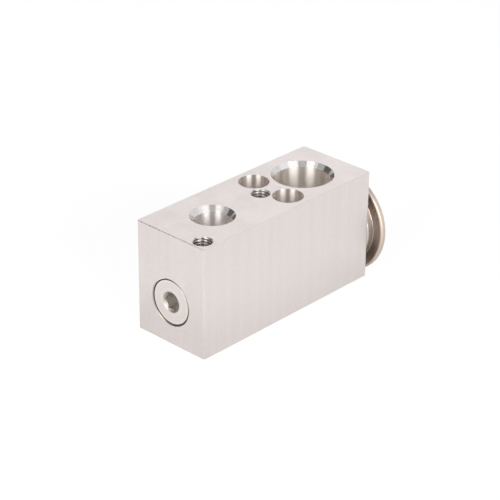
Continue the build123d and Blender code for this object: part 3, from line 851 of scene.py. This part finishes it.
# Floor, light and camera
# The valve lies on its evaporator-side face on a white floor. The head's rim reaches lower than the block, so
# the floor slopes a little. The light is soft and even, and the camera looks down on the adjusting-screw end.

floor_half = 4.0
floor_white = 0.42
floor_white_seen = 0.25
floor_glow_mirrored = 0.6
floor_level_seen = 1.1
# Mirrors see the floor darker round the block, from shade_least of its level beside it to all of it at
# shade_reach away. Height doesn't count, so the third half size is larger than anything.
shade_reach = 30.0 * MILLIMETRE
shade_least = 0.8
shade_half_height = 10.0
rest_edge = (block_low.x, block_low.z)
rim_foot = ((weld_low.x + weld_high.x) / 2, cad_low.z)
slope = (rim_foot[1] - rest_edge[1]) / (rim_foot[0] - rest_edge[0])


def make_floor_white():
    """White paint with a glow that only the camera and mirrors see. From beneath the floor is clear."""
    material = bpy.data.materials.new("floor_white")
    material.use_nodes = True
    material.cycles.emission_sampling = "NONE"
    tree = material.node_tree
    tree.nodes.clear()
    path = tree.nodes.new("ShaderNodeLightPath").outputs
    place = tree.nodes.new("ShaderNodeTexCoord").outputs["Object"]
    middle = (block_low + block_high) / 2
    half = (block_high - block_low) / 2
    from_middle = vector_of(tree, "ABSOLUTE", vector_of(tree, "SUBTRACT", place, (middle.x, middle.y, 0.0)))
    past_block = vector_of(tree, "SUBTRACT", from_middle, (half.x, half.y, shade_half_height))
    outside = vector_of(tree, "MAXIMUM", past_block, (0.0, 0.0, 0.0))
    away = ramp(tree, vector_of(tree, "LENGTH", outside), 0.0, shade_reach, shade_least, 1.0)
    paint = tree.nodes.new("ShaderNodeBsdfDiffuse")
    shaded_white = math_of(tree, "MULTIPLY", away, floor_white)
    share = ramp(tree, path["Is Camera Ray"], 0.0, 1.0, shaded_white, floor_white_seen)
    tree.links.new(share, paint.inputs["Color"])
    glow = tree.nodes.new("ShaderNodeEmission")
    camera_glow = math_of(tree, "MULTIPLY", path["Is Camera Ray"], floor_level_seen - floor_white_seen)
    glow_here = math_of(tree, "MULTIPLY", away, floor_glow_mirrored)
    mirror_glow = math_of(tree, "MULTIPLY", path["Is Glossy Ray"], glow_here)
    tree.links.new(math_of(tree, "ADD", camera_glow, mirror_glow), glow.inputs["Strength"])
    both = tree.nodes.new("ShaderNodeAddShader")
    tree.links.new(paint.outputs[0], both.inputs[0])
    tree.links.new(glow.outputs[0], both.inputs[1])
    clear = tree.nodes.new("ShaderNodeBsdfTransparent")
    beneath = tree.nodes.new("ShaderNodeMixShader")
    tree.links.new(tree.nodes.new("ShaderNodeNewGeometry").outputs["Backfacing"], beneath.inputs[0])
    tree.links.new(both.outputs[0], beneath.inputs[1])
    tree.links.new(clear.outputs[0], beneath.inputs[2])
    output = tree.nodes.new("ShaderNodeOutputMaterial")
    tree.links.new(beneath.outputs[0], output.inputs["Surface"])
    return material


def make_floor():
    """A large flat sheet, whose slope along X takes it from under the block's end to under the head's rim."""
    x = np.array([-floor_half, floor_half, floor_half, -floor_half])
    y = np.array([-floor_half, -floor_half, floor_half, floor_half])
    z = rest_edge[1] + (x - rest_edge[0]) * slope
    mesh = bpy.data.meshes.new("floor")
    mesh.from_pydata(np.stack([x, y, z], axis=1).tolist(), [], [(0, 1, 2, 3)])
    mesh.materials.append(make_floor_white())
    floor = bpy.data.objects.new("floor", mesh)
    bpy.context.scene.collection.objects.link(floor)


make_floor()

world_white_seen = 1.0
world_white_on_matt = 0.4


def make_world():
    """White all round, at full level to the camera, mirrors and glass, and at a lower one to matt things."""
    world = bpy.data.worlds.new("studio")
    bpy.context.scene.world = world
    world.cycles.sampling_method = "NONE"
    world.use_nodes = True
    tree = world.node_tree
    path = tree.nodes.new("ShaderNodeLightPath").outputs
    seen = math_of(tree, "MAXIMUM", path["Is Camera Ray"],
                   math_of(tree, "MAXIMUM", path["Is Glossy Ray"], path["Is Transmission Ray"]))
    background = tree.nodes["Background"]
    background.inputs["Color"].default_value = (1.0, 1.0, 1.0, 1.0)
    strength = ramp(tree, seen, 0.0, 1.0, world_white_on_matt, world_white_seen)
    tree.links.new(strength, background.inputs["Strength"])


make_world()

lamp_distance = 1.2


def soft_lamp(name, azimuth, elevation, width, height, power):
    """A soft lamp that faces the valve.

    Its azimuth is read from the camera's, and grows towards the picture's right.
    """
    lamp = bpy.data.lights.new(name, "AREA")
    lamp.shape = "RECTANGLE"
    lamp.size, lamp.size_y = width, height
    lamp.energy = power
    holder = bpy.data.objects.new(name, lamp)
    bpy.context.scene.collection.objects.link(holder)
    middle = (cad_low + cad_high) / 2
    turn, rise = math.radians(camera_azimuth + azimuth), math.radians(elevation)
    towards = Vector((math.sin(turn) * math.cos(rise), -math.cos(turn) * math.cos(rise), math.sin(rise)))
    holder.location = middle + towards * lamp_distance
    holder.rotation_euler = (-towards).to_track_quat("-Z", "Y").to_euler()


camera_azimuth = -46.886
soft_lamp("lamp_left", azimuth=-33, elevation=17, width=0.66, height=0.66, power=8.6)
soft_lamp("lamp_right", azimuth=36, elevation=17, width=0.74, height=0.66, power=9.6)

card_distance = 1.3
card_points = 9


def grey_card(name, azimuths, elevations, level):
    """A card bent round the valve, which only mirrors see.

    Its points lie on a sphere round the valve, between two azimuths from the camera's and two elevations.
    The bored walls mirror the cards as upright stripes.
    """
    turn = np.radians(camera_azimuth + np.linspace(*azimuths, card_points))[:, None]
    rise = np.radians(np.linspace(*elevations, card_points))[None, :]
    middle = (cad_low + cad_high) / 2
    points = np.stack([
        middle.x + card_distance * np.sin(turn) * np.cos(rise),
        middle.y - card_distance * np.cos(turn) * np.cos(rise),
        middle.z + card_distance * np.sin(rise) + 0 * turn,
    ], axis=2)
    mesh = bpy.data.meshes.new(name)
    mesh.from_pydata(points.reshape(-1, 3).tolist(), [], grid_faces(card_points, card_points).tolist())
    material = bpy.data.materials.new(name)
    material.use_nodes = True
    material.cycles.emission_sampling = "NONE"
    tree = material.node_tree
    tree.nodes.clear()
    glow = tree.nodes.new("ShaderNodeEmission")
    glow.inputs["Strength"].default_value = level
    output = tree.nodes.new("ShaderNodeOutputMaterial")
    tree.links.new(glow.outputs[0], output.inputs["Surface"])
    mesh.materials.append(material)
    card = bpy.data.objects.new(name, mesh)
    bpy.context.scene.collection.objects.link(card)
    card.visible_camera = False
    card.visible_diffuse = False
    card.visible_shadow = False


grey_card("card_behind_camera", (-19, 19), (20, 64), 0.55)
grey_card("card_left_pale", (-62, -47), (34, 62), 0.72)
grey_card("card_left", (-95, -64), (4, 60), 0.5)
grey_card("card_left_dark", (-127, -95), (4, 48), 0.12)
grey_card("card_far_left", (-150, -127), (4, 48), 0.5)
grey_card("card_over_right", (85, 170), (36, 76), 0.3)
grey_card("card_right", (95, 158), (0, 36), 0.8)

# The camera's place comes from the photograph's perspective, solved on the block's corners and hole rims
camera_elevation = 27.675
camera_roll = 0.589
camera_target = (-0.0066, 0.0, 0.019)
camera_distance = 0.59048
camera_right = -0.001859
camera_up = -0.000427
focal_pixels = 1850.1
image_pixels = 500.0
film_millimetres = 36.0
clip_near, clip_far = 0.01, 20.0


def make_camera():
    """A camera at its azimuth, elevation and distance from the target, shifted and rolled in its plane."""
    turn, rise, roll = (math.radians(a) for a in (camera_azimuth, camera_elevation, camera_roll))
    back = Vector((math.sin(turn) * math.cos(rise), -math.cos(turn) * math.cos(rise), math.sin(rise)))
    level_right = Vector((math.cos(turn), math.sin(turn), 0.0))
    level_up = back.cross(level_right)
    right = math.cos(roll) * level_right + math.sin(roll) * level_up
    up = -math.sin(roll) * level_right + math.cos(roll) * level_up
    camera = bpy.data.cameras.new("camera")
    camera.sensor_width = film_millimetres
    camera.lens = focal_pixels / image_pixels * camera.sensor_width
    camera.clip_start, camera.clip_end = clip_near, clip_far
    holder = bpy.data.objects.new("camera", camera)
    bpy.context.scene.collection.objects.link(holder)
    holder.matrix_world = Matrix((right, up, back)).transposed().to_4x4()
    shift = right * camera_right + up * camera_up
    holder.location = Vector(camera_target) + back * camera_distance + shift
    bpy.context.scene.camera = holder


make_camera()
bpy.context.scene.view_settings.view_transform = "Standard"
